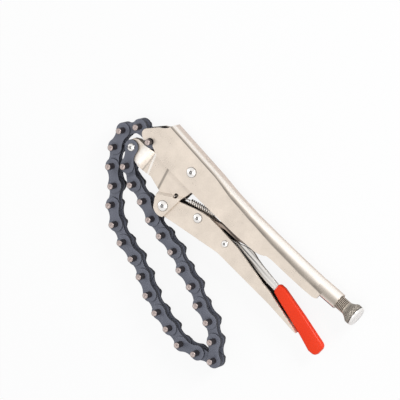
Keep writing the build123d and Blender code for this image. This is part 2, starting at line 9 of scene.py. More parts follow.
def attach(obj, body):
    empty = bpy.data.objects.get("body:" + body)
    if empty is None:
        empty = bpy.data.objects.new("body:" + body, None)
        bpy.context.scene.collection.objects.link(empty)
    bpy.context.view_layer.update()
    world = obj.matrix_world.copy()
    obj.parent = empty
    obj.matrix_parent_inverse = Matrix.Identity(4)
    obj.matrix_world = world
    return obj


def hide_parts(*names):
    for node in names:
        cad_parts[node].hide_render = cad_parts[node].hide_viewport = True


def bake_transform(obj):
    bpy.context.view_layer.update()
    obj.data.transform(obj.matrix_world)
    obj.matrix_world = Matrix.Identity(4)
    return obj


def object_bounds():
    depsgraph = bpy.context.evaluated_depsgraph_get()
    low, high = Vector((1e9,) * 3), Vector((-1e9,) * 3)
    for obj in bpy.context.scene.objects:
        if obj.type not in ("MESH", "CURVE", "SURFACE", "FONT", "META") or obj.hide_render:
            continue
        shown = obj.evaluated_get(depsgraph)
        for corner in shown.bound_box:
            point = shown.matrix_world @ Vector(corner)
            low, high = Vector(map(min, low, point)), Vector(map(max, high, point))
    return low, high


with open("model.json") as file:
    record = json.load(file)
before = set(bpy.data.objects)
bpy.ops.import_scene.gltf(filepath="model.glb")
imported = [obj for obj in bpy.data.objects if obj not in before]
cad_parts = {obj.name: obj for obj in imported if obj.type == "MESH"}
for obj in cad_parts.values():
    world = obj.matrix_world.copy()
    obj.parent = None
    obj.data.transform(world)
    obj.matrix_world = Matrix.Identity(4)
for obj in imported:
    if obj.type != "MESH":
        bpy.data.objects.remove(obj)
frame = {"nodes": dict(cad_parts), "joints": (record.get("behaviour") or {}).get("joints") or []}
cad_bounds = [list(corner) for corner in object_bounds()]

# One millimetre in metres, the unit that every size is kept in
MM = 0.001

# Pivots, taken from the frame
joint_places = {joint["name"]: joint.get("pos_m") for joint in frame["joints"]}
jaw_pivot = Vector(joint_places["jaw_pivot"])
lever_pivot = Vector(joint_places["lever_pivot"])
toggle_pivot = Vector(joint_places["toggle_pivot"])
release_pivot = Vector(joint_places["release_pivot"])
chain_pivot = Vector(joint_places["chain_hinge_01"])
knob_joint = next(joint for joint in frame["joints"] if joint["name"] == "knob_turn")
screw_point = Vector(knob_joint["pos_m"])
screw_way = Vector(knob_joint["axis"]).normalized()


def from_jaw(x, y):
    """A point on the middle plane, given in millimetres from the jaw's pivot."""
    return jaw_pivot + Vector((x, y, 0)) * MM


# Chain, the same sizes as the solids'
pitch = 15.875 * MM
link_count = 28
pin_radius = 2.54 * MM
pin_half = 12.0 * MM
narrow_inner = 1.55 * MM
plate_thick = 1.4 * MM
plate_gap = 0.1 * MM
wide_inner = narrow_inner + plate_thick + plate_gap
lobe_radius = 6.25 * MM
waist_half = 4.4 * MM
plate_edge = 0.22 * MM
crank_edge = 0.2 * MM
crank_start_share = 0.38
crank_end_share = 0.62
barrel_radius = 4.3 * MM
barrel_bore = pin_radius + 0.05 * MM
hook_seat = from_jaw(-42.6, -9.5)

# Half widths of the sheet pieces and of the handle's inside, and how much the sheets' edges are rounded
handle_half = 7.3 * MM
handle_slot_half = 4.9 * MM
flare_half = 7.05 * MM
lever_half = 4.7 * MM
edge_soft = 0.3 * MM

# Rivets, in rows of name, body, place, seat height, shaft radius and head radius
rivet_height = 1.6 * MM
rivet_rim = 0.42 * MM
chain_rivet_seat = 4.5 * MM
rivet_rows = (
    ("jaw_pivot_rivet", "fixed_handle", jaw_pivot, handle_half, 3.2 * MM, 4.35 * MM),
    ("lever_pivot_rivet", "jaw", lever_pivot, flare_half, 3.2 * MM, 4.55 * MM),
    ("link_rivet", "lever", toggle_pivot, lever_half, 2.4 * MM, 4.0 * MM),
    ("release_rivet", "lever", release_pivot, lever_half, 1.9 * MM, 2.9 * MM),
    ("chain_rivet", "jaw", chain_pivot, chain_rivet_seat, pin_radius, 3.3 * MM),
)

# Screw and knob, with heights along the screw's own axis
thread_lead = 1.25 * MM
thread_crest = 5.45 * MM
thread_depth = 0.75 * MM
thread_start = -20.0 * MM
thread_rows = 210
thread_columns = 48
screw_tip = -57.4 * MM
tip_radius = 2.95 * MM
tip_length = 3.0 * MM
rod_radius = 3.95 * MM
neck_radius = tip_radius
neck_start = 6.2 * MM
neck_end = 15.0 * MM
knob_foot = 6.25 * MM
knob_band_end = 15.3 * MM
knob_end = 17.95 * MM
knob_body = [(knob_foot, 5.2 * MM), (9.0 * MM, 6.4 * MM), (11.4 * MM, 8.1 * MM), (12.2 * MM, 8.55 * MM),
             (knob_band_end, 8.55 * MM)]
knurl_teeth = 30
knurl_depth = 0.55 * MM
knurl_fade = 1.5 * MM
knurl_rows = 56
knurl_columns = 240

# Spring, with distances along it from the hole in the jaw
wire_radius = 0.45 * MM
coil_radius = 2.0 * MM
coil_start = 10.5 * MM
coil_end = 34.9 * MM
coil_turns = 13
points_a_turn = 16
coil_lead_points = 6
coil_lead_length = 3.2 * MM
first_coil_share = 0.25

# Grip, its side outline in millimetres from the jaw's pivot
grip_top = [(112.6, -11.6), (113.2, -10.2), (118.5, -9.5), (145.0, -13.0), (170.0, -17.1)]
grip_tail = [(172.2, -18.0), (173.3, -20.4), (173.3, -26.5), (172.2, -28.8), (170.0, -29.7)]
grip_lower = [(166.0, -30.3), (151.7, -26.6), (122.0, -20.6), (114.2, -18.6), (112.8, -17.6)]
grip_half = 2.7 * MM
grip_edge = 1.7 * MM

# Camera: its two directions across the picture, and where the jaw's pivot lies in it, in pixels
view_right = Vector((0.644, 0.597, -0.478))
view_up = Vector((-0.724, 0.676, -0.132))
picture_side = 400
pixel_size = 0.794 * MM
pivot_left_of_middle = 4.2
pivot_above_middle = 28.6
camera_distance = 2.4
sensor_width = 36

# Floor and light, with each lamp's name, place, size and power
floor_reach = 6.0
floor_gap = 0.4 * MM
floor_grey = 0.86
floor_rough = 0.9
floor_white_share = 0.9
world_tint = (0.93, 0.94, 0.96, 1)
world_strength = 0.5
lamp_rows = (
    ("key_lamp", (0.35, 1.35, 0.75), 0.5, 14),
    ("top_lamp", (0.5, 0.1, 1.6), 0.9, 6),
    ("front_lamp", (-1.0, -0.75, 1.05), 0.4, 1.8),
)


# Shader maths as Python expressions
class Signal:
    """A value in a material's nodes that takes part in Python sums."""

    def __init__(self, paint, socket):
        self.paint = paint
        self.socket = socket

    def maths(self, operation, first, second=0.0):
        return self.paint.add("ShaderNodeMath", {"operation": operation}, {0: first, 1: second})

    def __add__(self, other):
        return self.maths("ADD", self, other)

    def __radd__(self, other):
        return self.maths("ADD", other, self)

    def __sub__(self, other):
        return self.maths("SUBTRACT", self, other)

    def __rsub__(self, other):
        return self.maths("SUBTRACT", other, self)

    def __mul__(self, other):
        return self.maths("MULTIPLY", self, other)

    def __rmul__(self, other):
        return self.maths("MULTIPLY", other, self)

    def __truediv__(self, other):
        return self.maths("DIVIDE", self, other)

    def __abs__(self):
        return self.maths("ABSOLUTE", self)

    def clamped(self):
        return self.maths("MINIMUM", self.maths("MAXIMUM", self, 0.0), 1.0)

    def above(self, level, slope):
        """Rises from 0 at a level, by a slope, and stops at 1."""
        return ((self - level) * slope).clamped()


class Paint:
    """One material, built from nodes through a single method."""

    def __init__(self, name):
        self.material = bpy.data.materials.new(name)
        self.material.use_nodes = True
        self.tree = self.material.node_tree
        self.tree.nodes.clear()
        self.shader = self.tree.nodes.new("ShaderNodeBsdfPrincipled")
        out = self.tree.nodes.new("ShaderNodeOutputMaterial")
        self.tree.links.new(self.shader.outputs[0], out.inputs[0])

    def add(self, kind, settings, inputs, output=0):
        node = self.tree.nodes.new(kind)
        for name, value in settings.items():
            if name == "stops":
                self.set_stops(node.color_ramp, value)
            else:
                setattr(node, name, value)
        for name, value in inputs.items():
            self.feed(node.inputs[name], value)
        return Signal(self, node.outputs[output])

    @staticmethod
    def set_stops(ramp, stops):
        while len(ramp.elements) < len(stops):
            ramp.elements.new(1.0)
        for element, (place, colour) in zip(ramp.elements, stops):
            element.position = place
            element.color = (*colour, 1)

    def feed(self, socket, value):
        if isinstance(value, Signal):
            self.tree.links.new(value.socket, socket)
        elif isinstance(value, tuple) and len(value) == 3 and socket.type == "RGBA":
            socket.default_value = (*value, 1)
        else:
            socket.default_value = value

    def place(self):
        return self.add("ShaderNodeTexCoord", {}, {}, 3)

    def axis(self, which):
        return self.add("ShaderNodeSeparateXYZ", {}, {0: self.place()}, which)

    def groove(self):
        """How deep in a groove a point lies, stored on the mesh from 0 to 1."""
        return self.add("ShaderNodeAttribute", {"attribute_name": "groove"}, {}, 2)

    def noise(self, scale, detail=3.0, rough=0.55, stretch=None):
        place = self.place()
        if stretch:
            scales, turns = stretch
            place = self.add("ShaderNodeMapping", {}, {"Vector": place, "Scale": scales, "Rotation": turns})
        settings = {"Vector": place, "Scale": scale, "Detail": detail, "Roughness": rough}
        return self.add("ShaderNodeTexNoise", {}, settings)

    def mix(self, factor, first, second):
        return self.add("ShaderNodeMix", {"data_type": "RGBA"}, {0: factor, 6: first, 7: second}, 2)

    def ramp(self, value, stops):
        return self.add("ShaderNodeValToRGB", {"stops": stops}, {0: value})

    def bump(self, height, strength, distance=0.2 * MM):
        return self.add("ShaderNodeBump", {}, {"Strength": strength, "Distance": distance, "Height": height})

    def finish(self, **sockets):
        for name, value in sockets.items():
            self.feed(self.shader.inputs[name.replace("_", " ")], value)
        return self.material


# Finishes: noise scales are in waves a metre
def dimmed(colour, share):
    return tuple(part * share for part in colour)


def plated_finish(name, tint, dull, bend=None, creases=()):
    """Nickel plating over stamped sheet: soft mottling, fine grain, and painted highlights and painted shade
    along its bends.
    """
    grain_strength = 0.22
    pits_strength = 0.22
    paint = Paint(name)
    cloud = paint.noise(scale=70, detail=4)
    grain = paint.noise(scale=900, detail=2, rough=0.5)
    pits = paint.noise(scale=1500, detail=2, rough=0.5)
    tone = paint.mix(cloud.above(level=0.3, slope=2.4), dimmed(tint, 0.86), tint)
    tone = paint.mix(grain.above(level=0.45, slope=4) * grain_strength, tone, dimmed(tint, 0.74))
    tone = paint.mix(pits.above(level=0.60, slope=9) * pits_strength, tone, dimmed(tint, 0.6))
    # Painted highlight and painted shade on the handle's back
    if bend:
        tone = painted_spine_light(paint, tone, tint, cloud, *bend)
    # Painted highlight and painted shade lines along the sheet's bends
    for place, degrees, width, colour, strength in creases:
        turn = math.radians(degrees)
        off = (paint.axis(0) - place.x) * math.sin(turn) - (paint.axis(1) - place.y) * math.cos(turn)
        band = (1 - abs(off) / width).clamped()
        tone = paint.mix((band * 1.6).clamped() * strength * (cloud + 0.35).clamped(), tone, colour)
    rough = dull + (cloud - 0.5) * 0.16 + (grain - 0.5) * 0.08
    normal = paint.bump(grain * 0.6 + pits, strength=0.07)
    return paint.finish(Base_Color=tone, Metallic=0.6, Roughness=rough, Normal=normal)


def painted_spine_light(paint, tone, tint, cloud, low_edge, outer, fade):
    """The handle's back: a painted highlight stripe on its near side, painted shade on its far side and a
    painted dark line along both bends.
    """
    stripe_middle = 0.5 * outer
    stripe_half = 0.42 * outer
    stripe_strength = 0.8
    painted_shade_edge = 0.05 * outer
    painted_shade_strength = 0.6
    line_strength = 0.9
    across = paint.axis(2)
    height = abs(across)
    upper = paint.axis(1).above(level=low_edge, slope=700)
    # Painted highlight: a lighter stripe along the near side of the back
    painted_highlight = (1 - abs(across - stripe_middle) / stripe_half).clamped() * upper
    tone = paint.mix((painted_highlight * 2).clamped() * stripe_strength, tone, painted_highlight_tint)
    # Painted shade: a darker tint over the far side of the back
    painted_shade = ((painted_shade_edge - across) * 900).clamped() * upper
    tone = paint.mix(painted_shade * painted_shade_strength, tone, painted_shade_tint)
    # Painted shade: a dark line where each side rounds over
    line = ((outer - height) * 16000).clamped() * (1 - (outer - height) / fade).clamped()
    painted_dark_line = line * upper * (cloud + 0.45).clamped()
    return paint.mix(painted_dark_line * line_strength, tone, dimmed(tint, 0.13))


def streaked_finish(name, tint, dull, angle):
    """Polished bar with long draw lines."""
    paint = Paint(name)
    lines = paint.noise(scale=1.0, detail=2, rough=0.5, stretch=((14, 420, 120), (0, 0, -angle)))
    tone = paint.ramp(lines, [(0.36, dimmed(tint, 0.2)), (0.47, dimmed(tint, 0.75)), (0.66, tint)])
    rough = dull + (lines - 0.5) * 0.25
    normal = paint.bump(lines, strength=0.12)
    return paint.finish(Base_Color=tone, Metallic=0.7, Roughness=rough, Normal=normal)


def chain_finish(name, flat, shade):
    """Blued chain plate with a matt oily bloom."""
    paint = Paint(name)
    cloud = paint.noise(scale=260, detail=4, rough=0.6)
    grain = paint.noise(scale=2400, detail=2, rough=0.6)
    tone = paint.mix(cloud, shade, flat)
    rough = 0.46 + (cloud - 0.5) * 0.25
    normal = paint.bump(grain, strength=0.12)
    return paint.finish(Base_Color=tone, Metallic=0.25, Roughness=rough, Normal=normal)


def pin_finish(name, dark, pale):
    """Pin sides painted near-black as shade and dark reflection, with a pale, machined end."""
    paint = Paint(name)
    height = abs(paint.axis(2))
    end = height.above(level=pin_half - 0.28 * MM, slope=9000)
    cloud = paint.noise(scale=900, detail=3, rough=0.6)
    # Painted shade and dark reflection on the pin's sides
    side = paint.mix(cloud, dark, dimmed(dark, 1.9))
    face = paint.mix(cloud, dimmed(pale, 0.6), pale)
    rough = 0.32 + (cloud - 0.5) * 0.2
    return paint.finish(Base_Color=paint.mix(end, side, face), Metallic=0.45, Roughness=rough)


def turned_finish(name, tint, dull, groove_shade=0.16):
    """Machined steel, with painted shade in the grooves stored on the mesh."""
    paint = Paint(name)
    cloud = paint.noise(scale=420, detail=4, rough=0.6)
    grain = paint.noise(scale=2600, detail=2)
    tone = paint.mix(cloud, dimmed(tint, 0.76), tint)
    # Painted shade deep in the grooves
    tone = paint.mix(paint.groove() * 0.95, tone, dimmed(tint, groove_shade))
    rough = dull + (cloud - 0.5) * 0.2
    normal = paint.bump(grain, strength=0.10)
    return paint.finish(Base_Color=tone, Metallic=0.7, Roughness=rough, Normal=normal)


def grip_finish(name, tint, deep):
    """Dipped soft vinyl, glossy with a slow change of tone."""
    paint = Paint(name)
    cloud = paint.noise(scale=45, detail=2, rough=0.4)
    skin = paint.noise(scale=500, detail=2, rough=0.5)
    tone = paint.mix(cloud, deep, tint)
    rough = 0.34 + (cloud - 0.5) * 0.12
    normal = paint.bump(skin, strength=0.08)
    return paint.finish(Base_Color=tone, Roughness=rough, Normal=normal, Specular_IOR_Level=0.3)


plate_tint = (0.82, 0.72, 0.62)
# Tints of the painted highlight and the painted shade on the handle's back
painted_highlight_tint = (0.97, 0.93, 0.88)
painted_shade_tint = (0.62, 0.52, 0.47)
# Colours of the painted highlight and the painted shade on the jaw's bends
painted_crease_highlight = (0.98, 0.95, 0.91)
painted_crease_shade = dimmed(plate_tint, 0.16)

# The handle's bends, where highlight and shade are painted: where its upper part starts, the outer height and
# how far the painted dark line fades
handle_bend = (jaw_pivot.y + 7.5 * MM, handle_half, 1.5 * MM)

# Painted highlight and painted shade lines along the jaw's bends: a place on each, its angle in degrees, half
# width, colour and strength
jaw_painted_crease_lines = ((from_jaw(-42.0, -23.0), 99, 4.6 * MM, painted_crease_highlight, 0.8),
               (from_jaw(-33.2, -26.0), 92, 1.1 * MM, painted_crease_shade, 0.55),
               (from_jaw(-30.2, -23.0), 109, 1.2 * MM, painted_crease_highlight, 0.95),
               (from_jaw(-14.8, -24.5), 103, 1.4 * MM, painted_crease_shade, 0.8))
handle_plating = plated_finish("handle_plating", plate_tint, 0.3, handle_bend)
jaw_plating = plated_finish("jaw_plating", plate_tint, 0.3, creases=jaw_painted_crease_lines)
plated = plated_finish("plated_sheet", plate_tint, 0.3)
# Painted shade: near-black plating for the sheets' inner faces
inside = plated_finish("sheet_inside_painted_shade", (0.035, 0.030, 0.028), 0.6)
rivet_metal = turned_finish("rivet_metal", (0.96, 0.93, 0.90), 0.16, 0.05)
bar_metal = streaked_finish("polished_bar", (0.86, 0.83, 0.79), 0.22, math.radians(-6))
link_metal = streaked_finish("link_steel", (0.46, 0.37, 0.31), 0.3, math.radians(-20))
thread_metal = turned_finish("thread_metal", (0.66, 0.57, 0.48), 0.3, 0.05)
knob_metal = turned_finish("knob_metal", (0.70, 0.63, 0.54), 0.3, 0.1)
wire_metal = turned_finish("spring_wire_metal", (0.88, 0.82, 0.76), 0.24)
chain_blue = chain_finish("blued_plate", (0.150, 0.158, 0.195), (0.105, 0.112, 0.142))
# Painted shade: near-black for the chain plates' sloped rims
chain_edge_shade = chain_finish("blued_edge_painted_shade", (0.030, 0.031, 0.040), (0.014, 0.014, 0.019))
pin_metal = pin_finish("pin_metal", (0.026, 0.022, 0.024), (0.56, 0.46, 0.43))
barrel_metal = chain_finish("barrel_steel", (0.045, 0.046, 0.060), (0.020, 0.020, 0.028))
grip_vinyl = grip_finish("red_vinyl", (0.90, 0.050, 0.006), (0.80, 0.032, 0.004))


# Mesh helpers
def new_piece(name, mesh, *materials):
    """An object at the origin that carries a mesh and its materials."""
    piece = bpy.data.objects.new(name, mesh)
    bpy.context.scene.collection.objects.link(piece)
    mesh.materials.clear()
    for material in materials:
        mesh.materials.append(material)
    return piece


def smoothed(piece, degrees=35):
    """Smooth shading but for edges sharper than an angle."""
    piece.data.shade_smooth()
    piece.data.set_sharp_from_angle(angle=math.radians(degrees))
    return piece


def bevelled(piece, width, segments=2, degrees=32, even=False):
    """Rounds every sharp edge of a piece and keeps the result as its mesh."""
    rounding = piece.modifiers.new("edge_round", "BEVEL")
    rounding.width = width
    rounding.segments = segments
    rounding.limit_method = "ANGLE"
    rounding.angle_limit = math.radians(degrees)
    rounding.use_clamp_overlap = True
    if even:
        piece.data.shade_smooth()
        flat_shading = piece.modifiers.new("flat_shading", "WEIGHTED_NORMAL")
        flat_shading.weight = 100
        flat_shading.thresh = 0.0001
    return baked(piece)


def baked(piece):
    """Turns a piece's modifiers into plain mesh."""
    tools = bpy.context.evaluated_depsgraph_get()
    mesh = bpy.data.meshes.new_from_object(piece.evaluated_get(tools))
    piece.modifiers.clear()
    piece.data = mesh
    return piece


def sheet_piece(node, body, width, material, slot_half=0.0, inside_from=0.0):
    """A sheet's own shape, its flat faces joined up, its edges rounded and its inner faces painted near-black
    as shade.
    """
    facing_in = -0.5
    middle_band = 1 * MM
    same_place = 2e-6
    flat_within = math.radians(0.6)
    mesh = frame["nodes"][node].data.copy()
    work = bmesh.new()
    work.from_mesh(mesh)
    bmesh.ops.remove_doubles(work, verts=work.verts, dist=same_place)
    bmesh.ops.dissolve_limit(work, angle_limit=flat_within, verts=work.verts, edges=work.edges,
                             delimit={"NORMAL"})
    work.to_mesh(mesh)
    work.free()
    piece = new_piece(node + "_finished", mesh, material, inside)
    bevelled(piece, width, even=True)
    # Inner faces take the second material, the painted shade
    for face in piece.data.polygons:
        height = abs(face.center.z)
        inner_wall = face.normal.z * face.center.z < facing_in * height and height > middle_band
        inner_top = face.normal.y < facing_in and height < slot_half and face.center.y > inside_from
        if inner_wall or inner_top:
            face.material_index = 1
    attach(piece, body)
    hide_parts(node)
    return piece


def prism(name, outline, low, high, material, edge=0.0, segments=2):
    """A flat outline given a thickness between two heights."""
    work = bmesh.new()
    lower = [work.verts.new((x, y, low)) for x, y in outline]
    upper = [work.verts.new((x, y, high)) for x, y in outline]
    work.faces.new(reversed(lower))
    work.faces.new(upper)
    for index in range(len(outline)):
        after = (index + 1) % len(outline)
        work.faces.new((lower[index], lower[after], upper[after], upper[index]))
    bmesh.ops.recalc_face_normals(work, faces=work.faces)
    mesh = bpy.data.meshes.new(name)
    work.to_mesh(mesh)
    work.free()
    piece = new_piece(name, mesh, material)
    if edge:
        bevelled(piece, edge, segments)
    return smoothed(piece)


def lathe(name, profile, material, sides=48):
    """A profile of radius, height and groove depth, where it has one, turned round Z."""
    on_axis = 1e-7
    work = bmesh.new()
    groove = work.verts.layers.float.new("groove")
    rings = []
    for radius, height, *depth in profile:
        if radius < on_axis:
            rings.append([work.verts.new((0, 0, height))])
            rings[-1][0][groove] = depth[0] if depth else 0
            continue
        ring = []
        for side in range(sides):
            turn = 2 * math.pi * side / sides
            ring.append(work.verts.new((radius * math.cos(turn), radius * math.sin(turn), height)))
            ring[-1][groove] = depth[0] if depth else 0
        rings.append(ring)
    for lower, upper in zip(rings, rings[1:]):
        for side in range(sides):
            after = (side + 1) % sides
            if len(lower) == 1 and len(upper) == 1:
                continue
            if len(lower) == 1:
                work.faces.new((lower[0], upper[after], upper[side]))
            elif len(upper) == 1:
                work.faces.new((lower[side], lower[after], upper[0]))
            else:
                work.faces.new((lower[side], lower[after], upper[after], upper[side]))
    bmesh.ops.recalc_face_normals(work, faces=work.faces)
    mesh = bpy.data.meshes.new(name)
    work.to_mesh(mesh)
    work.free()
    return smoothed(new_piece(name, mesh, material), 30)


def arc(centre, radius, first, last, steps):
    """Points on an arc between two angles in degrees."""
    points = []
    for step in range(steps + 1):
        turn = math.radians(first + (last - first) * step / steps)
        points.append((centre[0] + radius * math.cos(turn), centre[1] + radius * math.sin(turn)))
    return points


def moved(piece, place, turn=None):
    """Places a piece by moving its mesh, so that its object stays at the origin."""
    matrix = Matrix.Translation(place)
    if turn is not None:
        matrix = matrix @ turn.to_4x4()
    piece.data.transform(matrix)
    piece.data.update()
    return piece


def joined(name, pieces):
    """Several pieces made one, with their materials kept."""
    with bpy.context.temp_override(active_object=pieces[0], selected_editable_objects=pieces):
        bpy.ops.object.join()
    pieces[0].name = name
    return pieces[0]


# Chain: outline, pins and barrels, then one geometry tree that makes every link
def plate_outline():
    """The plate outline with its arcs in order round the plate."""
    half = pitch / 2
    hollow = (half ** 2 + waist_half ** 2 - lobe_radius ** 2) / (2 * (lobe_radius - waist_half))
    lean = math.degrees(math.atan2(waist_half + hollow, half))
    lobe_steps = 22
    waist_steps = 8
    right = arc((pitch, 0), lobe_radius, -180 + lean, 180 - lean, lobe_steps)
    top = arc((half, waist_half + hollow), hollow, -lean, -180 + lean, waist_steps)[1:-1]
    left = arc((0, 0), lobe_radius, lean, 360 - lean, lobe_steps)
    bottom = arc((half, -waist_half - hollow), hollow, 180 - lean, lean, waist_steps)[1:-1]
    return right + top + left + bottom


def cranked_plate(name, outline):
    """A plate that steps outward from narrow to wide between its pins."""
    piece = prism(name, outline, 0, plate_thick, chain_blue)
    work = bmesh.new()
    work.from_mesh(piece.data)
    cuts = 4
    crank_span = crank_end_share - crank_start_share
    for cut in range(cuts + 1):
        share = crank_start_share + crank_span * cut / cuts
        every = work.verts[:] + work.edges[:] + work.faces[:]
        bmesh.ops.bisect_plane(work, geom=every, plane_co=(pitch * share, 0, 0), plane_no=(1, 0, 0))
    for vert in work.verts:
        share = min(max((vert.co.x / pitch - crank_start_share) / crank_span, 0), 1)
        ease = share * share * (3 - 2 * share)
        vert.co.z += narrow_inner + (wide_inner - narrow_inner) * ease
    work.to_mesh(piece.data)
    work.free()
    return bevelled(piece, crank_edge)


def link_tree():
    """Geometry tree that builds one link from a plate and its two posts."""
    tree = bpy.data.node_groups.new("link_builder", "GeometryNodeTree")
    sockets = {"Plate": "Object", "First Post": "Object", "Second Post": "Object", "Plate Finish": "Material",
               "Edge Painted Shade": "Material", "First Finish": "Material", "Second Finish": "Material",
               "Pitch": "Float", "Start": "Vector", "Turn": "Vector"}
    for name, kind in sockets.items():
        tree.interface.new_socket(name=name, in_out="INPUT", socket_type="NodeSocket" + kind)
    tree.interface.new_socket(name="Geometry", in_out="OUTPUT", socket_type="NodeSocketGeometry")

    def add(kind, inputs=None, output=0, **settings):
        node = tree.nodes.new(kind)
        for name, value in settings.items():
            setattr(node, name, value)
        for name, value in (inputs or {}).items():
            if isinstance(value, bpy.types.NodeSocket):
                tree.links.new(value, node.inputs[name])
            else:
                node.inputs[name].default_value = value
        return node.outputs[output]

    def gathered(parts):
        node = tree.nodes.new("GeometryNodeJoinGeometry")
        for part in parts:
            tree.links.new(part, node.inputs["Geometry"])
        return node.outputs[0]

    given = tree.nodes.new("NodeGroupInput").outputs
    plate = add("GeometryNodeObjectInfo", {"Object": given["Plate"]}, "Geometry")
    under = add("GeometryNodeTransform", {"Geometry": plate, "Rotation": Euler((math.pi, 0, 0))})
    parts = [add("GeometryNodeSetMaterial",
                 {"Geometry": gathered((plate, under)), "Material": given["Plate Finish"]})]
    step = add("ShaderNodeCombineXYZ", {"X": given["Pitch"]})
    line = add("GeometryNodeMeshLine", {"Offset": step, "Count": 2}, "Mesh")
    index = add("GeometryNodeInputIndex")
    for number, order in enumerate(("First", "Second")):
        here = add("FunctionNodeCompare", {2: index, 3: number}, data_type="INT", operation="EQUAL")
        post = add("GeometryNodeObjectInfo", {"Object": given[order + " Post"]}, "Geometry")
        coated = add("GeometryNodeSetMaterial", {"Geometry": post, "Material": given[order + " Finish"]})
        parts.append(add("GeometryNodeInstanceOnPoints",
                         {"Points": line, "Instance": coated, "Selection": here}))
    placed = add("GeometryNodeTransform", {"Geometry": gathered(parts), "Translation": given["Start"],
                                           "Rotation": given["Turn"]})
    whole = add("GeometryNodeRealizeInstances", {"Geometry": placed})
    # The plates' sloped rims take the painted shade
    face_way = add("ShaderNodeSeparateXYZ", {"Vector": add("GeometryNodeInputNormal")}, "Z")
    upright = add("ShaderNodeMath", {0: face_way}, operation="ABSOLUTE")
    sloped = add("FunctionNodeCompare", {0: upright, 1: 0.5}, operation="LESS_THAN")
    on_plate = add("GeometryNodeMaterialSelection", {"Material": given["Plate Finish"]})
    plate_rim = add("FunctionNodeBooleanMath", {0: sloped, 1: on_plate}, operation="AND")
    done = tree.nodes.new("NodeGroupOutput")
    tree.links.new(add("GeometryNodeSetMaterial", {"Geometry": whole, "Selection": plate_rim,
                                                   "Material": given["Edge Painted Shade"]}), done.inputs[0])
    return tree


def grown(name, tree, values):
    """Runs a geometry tree on an empty mesh with named inputs and keeps the plain mesh."""
    carrier = bpy.data.objects.new(name + "_carrier", bpy.data.meshes.new(name + "_carrier"))
    bpy.context.scene.collection.objects.link(carrier)
    builder = carrier.modifiers.new("builder", "NODES")
    builder.node_group = tree
    sockets = {item.name: item.identifier for item in tree.interface.items_tree if item.in_out == "INPUT"}
    for socket, value in values.items():
        builder[sockets[socket]] = value
    tools = bpy.context.evaluated_depsgraph_get()
    mesh = bpy.data.meshes.new_from_object(carrier.evaluated_get(tools))
    bpy.data.objects.remove(carrier)
    piece = bpy.data.objects.new(name, mesh)
    bpy.context.scene.collection.objects.link(piece)
    return piece


def pin_profile():
    """A pin's outline: chamfered ends with a shallow dimple."""
    chamfer = 0.4 * MM
    tip = [(0, pin_half - 0.25 * MM), (1.0 * MM, pin_half - 0.12 * MM), (1.25 * MM, pin_half),
           (pin_radius - 0.45 * MM, pin_half), (pin_radius, pin_half - chamfer)]
    lower = [(radius, -height) for radius, height in tip]
    upper = [(radius, height) for radius, height in reversed(tip)]
    return lower + upper


def barrel_profile():
    """A barrel's ring, walked round its four corners."""
    return [(barrel_bore, -narrow_inner), (barrel_radius, -narrow_inner), (barrel_radius, narrow_inner),
            (barrel_bore, narrow_inner), (barrel_bore, -narrow_inner)]


def make_chain():
    """All the links, each riding on its own body."""
    outline = plate_outline()
    post_sides = 32
    wide = prism("wide_plate", outline, wide_inner, wide_inner + plate_thick, chain_blue, plate_edge)
    narrow = prism("narrow_plate", outline, narrow_inner, narrow_inner + plate_thick, chain_blue, plate_edge)
    crank = cranked_plate("crank_plate", outline)
    pin = lathe("pin_template", pin_profile(), pin_metal, post_sides)
    barrel = lathe("barrel_template", barrel_profile(), barrel_metal, post_sides)
    tree = link_tree()
    places = [Vector(joint_places[f"chain_hinge_{number:02d}"]) for number in range(1, link_count + 1)]
    places.append(hook_seat)
    for number in range(1, link_count + 1):
        start, end = places[number - 1], places[number]
        way = end - start
        if number == 1:
            plate, first, second = wide, None, pin
        elif number == 2:
            plate, first, second = crank, barrel, pin
        elif number % 2:
            plate, first, second = narrow, barrel, barrel
        else:
            plate, first, second = wide, pin, pin
        values = {"Plate": plate, "Second Post": second,
                  "Plate Finish": chain_blue, "Edge Painted Shade": chain_edge_shade,
                  "First Finish": barrel_metal if first is barrel else pin_metal,
                  "Second Finish": barrel_metal if second is barrel else pin_metal,
                  "Pitch": pitch, "Start": start, "Turn": (0, 0, math.atan2(way.y, way.x))}
        if first is not None:
            values["First Post"] = first
        node = f"chain_link_{number:02d}"
        link = smoothed(grown(node + "_finished", tree, values))
        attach(link, node)
        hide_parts(node)
    for template in (wide, narrow, crank, pin, barrel):
        bpy.data.objects.remove(template)


# Rivets with domed, peened heads
def rivet_piece(node, body, place, seat, shaft, head):
    """A rivet with a rim, a dome and a shallow dimple on both sides."""
    rim = seat + rivet_rim
    crown = seat + rivet_height
    # Groove depths here set painted shade on the head's rim and foot and in the dimple
    dome = [(head, seat, 1), (head, rim - 0.15 * MM, 1), (head * 0.96, rim, 0.8),
            (head * 0.92, rim + 0.1 * MM, 0.1)]
    for degrees in (30, 45, 62):
        swing = math.radians(degrees)
        dome.append((head * math.cos(swing), rim + (crown - rim) * math.sin(swing), 0))
    dimple = [(head * 0.36, crown, 0.1), (head * 0.30, crown - 0.12 * MM, 0.95),
              (head * 0.16, crown - 0.32 * MM, 0.9), (0, crown - 0.2 * MM, 0)]
    upper = [(shaft, seat, 1)] + dome + dimple
    profile = [(radius, -level, depth) for radius, level, depth in reversed(upper)] + upper
    piece = moved(lathe(node + "_finished", profile, rivet_metal), place)
    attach(piece, body)
    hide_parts(node)


# Screw and knob
def along_screw():
    """The turn from Z to the screw's own direction."""
    return screw_way.to_track_quat("Z", "Y").to_matrix()


